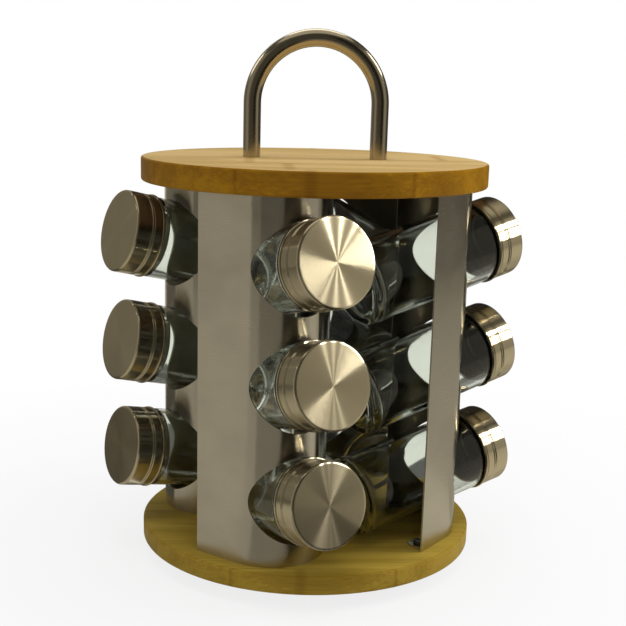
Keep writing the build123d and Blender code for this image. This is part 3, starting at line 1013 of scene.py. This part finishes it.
def sector(profile, start, end):
    """Points (r sin b, -r cos b, h) of a profile of (r, h) rows for bearings b between two in degrees."""
    columns = 12
    bearing = np.radians(np.linspace(start, end, columns) + photo_azimuth)
    radius, height = profile[:, :1], profile[:, 1:]
    points = np.stack([radius * np.sin(bearing), -radius * np.cos(bearing), height + 0 * bearing], axis=-1)
    return points.reshape(-1, 3), grid_faces(len(profile), columns)


mat_rows = np.array([[mat_reach[0], mat_height], [mat_reach[1], mat_height], [wall_reach, wall_foot]])
wall_rows = np.array([[wall_reach, wall_foot], [wall_reach, wall_height]])
veil_rows = np.vstack([mat_rows, wall_rows[1:]])
for number, (start, end, mat_grey, wall_grey, glass_grey) in enumerate(card_sectors):
    glow_card("mat_%d" % number, card_warmth, mat_grey, False, *sector(mat_rows, start, end))
    glow_card("wall_%d" % number, card_warmth, wall_grey, False, *sector(wall_rows, start, end))
    glow_card("veil_%d" % number, veil_tint, glass_grey, True, *sector(veil_rows, start, end))
ceiling = disc(wall_reach, wall_height, ceiling_sides)
skylight = disc(skylight_reach, wall_height - skylight_drop, ceiling_sides)
glow_card("ceiling", card_warmth, ceiling_grey, False, *ceiling)
glow_card("skylight", card_warmth, skylight_grey, False, *skylight)
glow_card("veil_top", veil_tint, veil_grey, True, *ceiling)

# Lamps. Two soft ones light the wood and the floor. The others are screened so that one draws streaks on the
# caps alone or edges the handle alone. Each has its degrees to the right of the camera and up, its distance
# from the middle of the rack, its width and height, its power and the steel it is screened to.
aim_height = 0.12
lamp_white = (1.0, 1.0, 1.0)
lamp_warmth = (1.0, 0.95, 0.82)


def lit_group(name, pieces):
    """Group of pieces that a screened lamp lights."""
    group = bpy.data.collections.new(name)
    for piece in pieces:
        group.objects.link(piece)
    return group


def add_lamp(name, bearing, elevation, distance, width, height, power, steel):
    """Rectangular lamp aimed at the middle of the rack, which lights what is dull or a group of steel."""
    lamp = bpy.data.lights.new(name, "AREA")
    lamp.shape = "RECTANGLE"
    lamp.size = width
    lamp.size_y = height
    lamp.energy = power
    lamp.color = lamp_warmth if steel else lamp_white
    holder = bpy.data.objects.new(name, lamp)
    bpy.context.scene.collection.objects.link(holder)
    heading = radians(bearing + photo_azimuth)
    rise = radians(elevation)
    back = Vector((sin(heading) * cos(rise), -cos(heading) * cos(rise), sin(rise)))
    holder.location = Vector((0.0, 0.0, aim_height)) + back * distance
    holder.rotation_mode = "QUATERNION"
    holder.rotation_quaternion = back.to_track_quat("Z", "Y")
    holder.visible_camera = False
    holder.visible_diffuse = steel is None
    holder.visible_glossy = steel is not None
    holder.visible_transmission = False
    if steel:
        holder.light_linking.receiver_collection = steel


lit_caps = lit_group("lit_caps", cap_shells)
lit_handle = lit_group("lit_handle", [handle])
lamps = (
    ("sky", 0.0, 80.0, 0.80, 0.50, 0.50, 2.3, None),
    ("fill", 95.0, 22.0, 0.66, 0.30, 0.30, 1.8, None),
    ("window", 80.5, 18.5, 0.62, 0.09, 0.16, 1.6, lit_caps),
    ("rim_right", 104.0, 37.0, 0.80, 0.30, 0.30, 1.4, lit_handle),
    ("rim_left", -108.0, 36.0, 0.80, 0.30, 0.30, 0.7, lit_handle),
    ("rim_top", 180.0, 60.0, 0.80, 0.50, 0.50, 1.8, lit_handle),
    ("spot_0", 60.5, 39.0, 0.65, 0.010, 0.010, 1.2, lit_caps),
    ("spot_1", 73.5, 36.5, 0.63, 0.010, 0.010, 1.0, lit_caps),
    ("spot_2", 81.5, 30.5, 0.62, 0.010, 0.010, 0.7, lit_caps),
    ("spot_3", -92.0, 30.0, 0.66, 0.040, 0.040, 0.025, lit_caps),
    ("spot_4", -115.0, 40.0, 0.66, 0.040, 0.040, 0.025, lit_caps),
)
for settings in lamps:
    add_lamp(*settings)

# Camera. It stands where a perspective fit of the boards' rims and the caps in the square photograph puts the
# lens. Angles are in radians, and the photograph's sizes in its pixels.
photo_size = 626.0
focal_pixels = 1182.8
view_middle = (298.0, 375.0)
sensor_width = 36.0
camera_distance = 0.6252
camera_height = 0.2466 + base_low
camera_azimuth = radians(photo_azimuth)
camera_pitch = 0.2473
camera_roll = 0.0249
camera_yaw = -0.0096

camera = bpy.data.cameras.new("camera")
camera.sensor_width = sensor_width
camera.lens = focal_pixels / photo_size * sensor_width
camera.shift_x = (photo_size / 2 - view_middle[0]) / photo_size
camera.shift_y = (view_middle[1] - photo_size / 2) / photo_size
camera_object = bpy.data.objects.new("camera", camera)
bpy.context.scene.collection.objects.link(camera_object)
bpy.context.scene.camera = camera_object
heading = camera_azimuth - camera_yaw
ahead = Vector((-sin(heading) * cos(camera_pitch), cos(heading) * cos(camera_pitch), -sin(camera_pitch)))
level_right = Vector((cos(heading), sin(heading), 0.0))
level_up = level_right.cross(ahead)
right = level_right * cos(camera_roll) + level_up * sin(camera_roll)
up = level_up * cos(camera_roll) - level_right * sin(camera_roll)
stand = Vector((sin(camera_azimuth), -cos(camera_azimuth), 0.0)) * camera_distance
stand.z = camera_height
turn = Matrix((right, up, -ahead)).transposed()
camera_object.matrix_world = Matrix.Translation(stand) @ turn.to_4x4()
bpy.context.scene.view_settings.view_transform = "Standard"
